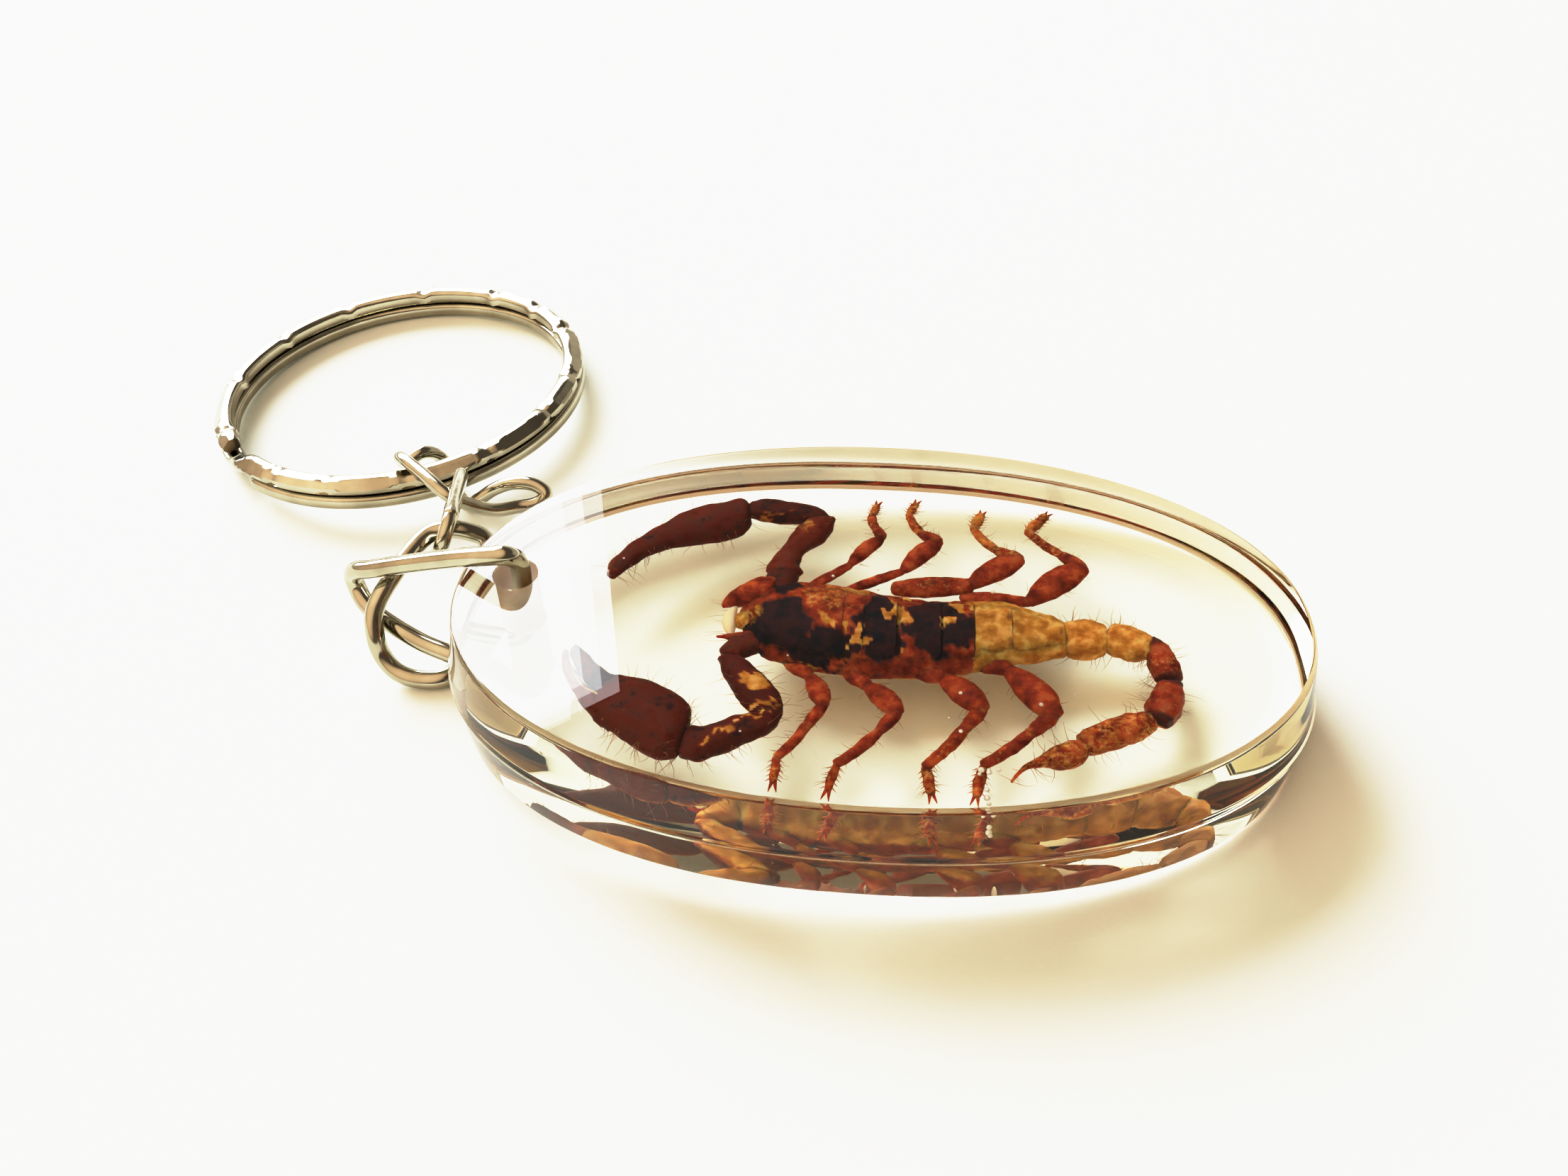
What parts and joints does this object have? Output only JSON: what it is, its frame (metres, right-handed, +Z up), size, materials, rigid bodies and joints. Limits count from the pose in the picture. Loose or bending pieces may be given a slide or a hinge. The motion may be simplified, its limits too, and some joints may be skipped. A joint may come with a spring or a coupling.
{
  "type": "scorpion in resin block",
  "caption": "Dried scorpion sealed in an oval block of clear resin, drilled at one end for a bent wire bail that holds wire links and a flat split ring.",
  "frame": {"origin": "on the surface that the object lies on, under the middle of its box", "axes": "+X along the block from its drilled end, +Y across it towards the split ring, +Z up off the surface"},
  "size_m": [0.0852, 0.0652, 0.0125],
  "materials": {
    "clear_resin": "clear cast resin, polished",
    "clear_resin_base": "clear cast resin, polished",
    "dried_shell": "dried shell, dark brown",
    "bail_nickel": "bright nickel plate",
    "bail_link_nickel": "bright nickel plate",
    "middle_link_nickel": "bright nickel plate",
    "jump_ring_nickel": "bright nickel plate",
    "ring_nickel": "bright nickel plate"
  },
  "bodies": {
    "block": {"resin_top": "clear_resin", "resin_bottom": "clear_resin_base", "scorpion": "dried_shell"},
    "bail": {"bail": "bail_nickel"},
    "bail_link": {"bail_link": "bail_link_nickel"},
    "middle_link": {"middle_link": "middle_link_nickel"},
    "jump_ring": {"jump_ring": "jump_ring_nickel"},
    "split_ring": {"split_ring": "ring_nickel"}
  },
  "joints": [
    {"name": "bail_turn", "type": "hinge", "parent": "block", "child": "bail", "pos_m": [-0.00833, -0.01445, 0.0059], "axis": [0, 0, 1], "range_deg": [-8, 6]},
    {"name": "bail_link_swing", "type": "hinge", "parent": "bail", "child": "bail_link", "pos_m": [-0.02003, -0.01245, 0.0042], "axis": [0, 0, 1], "range_deg": [-4, 4]},
    {"name": "middle_link_swing", "type": "hinge", "parent": "bail_link", "child": "middle_link", "pos_m": [-0.01558, -0.007, 0.00695], "axis": [0, 0, 1], "range_deg": [-4, 12]},
    {"name": "jump_ring_swing", "type": "hinge", "parent": "middle_link", "child": "jump_ring", "pos_m": [-0.01713, -0.00065, 0.00465], "axis": [0, 0, 1], "range_deg": [-10, 15]},
    {"name": "split_ring_swing", "type": "hinge", "parent": "jump_ring", "child": "split_ring", "pos_m": [-0.01993, 0.0037, 0.0027], "axis": [0, 0, 1], "range_deg": [-4, 15]}
  ]
}
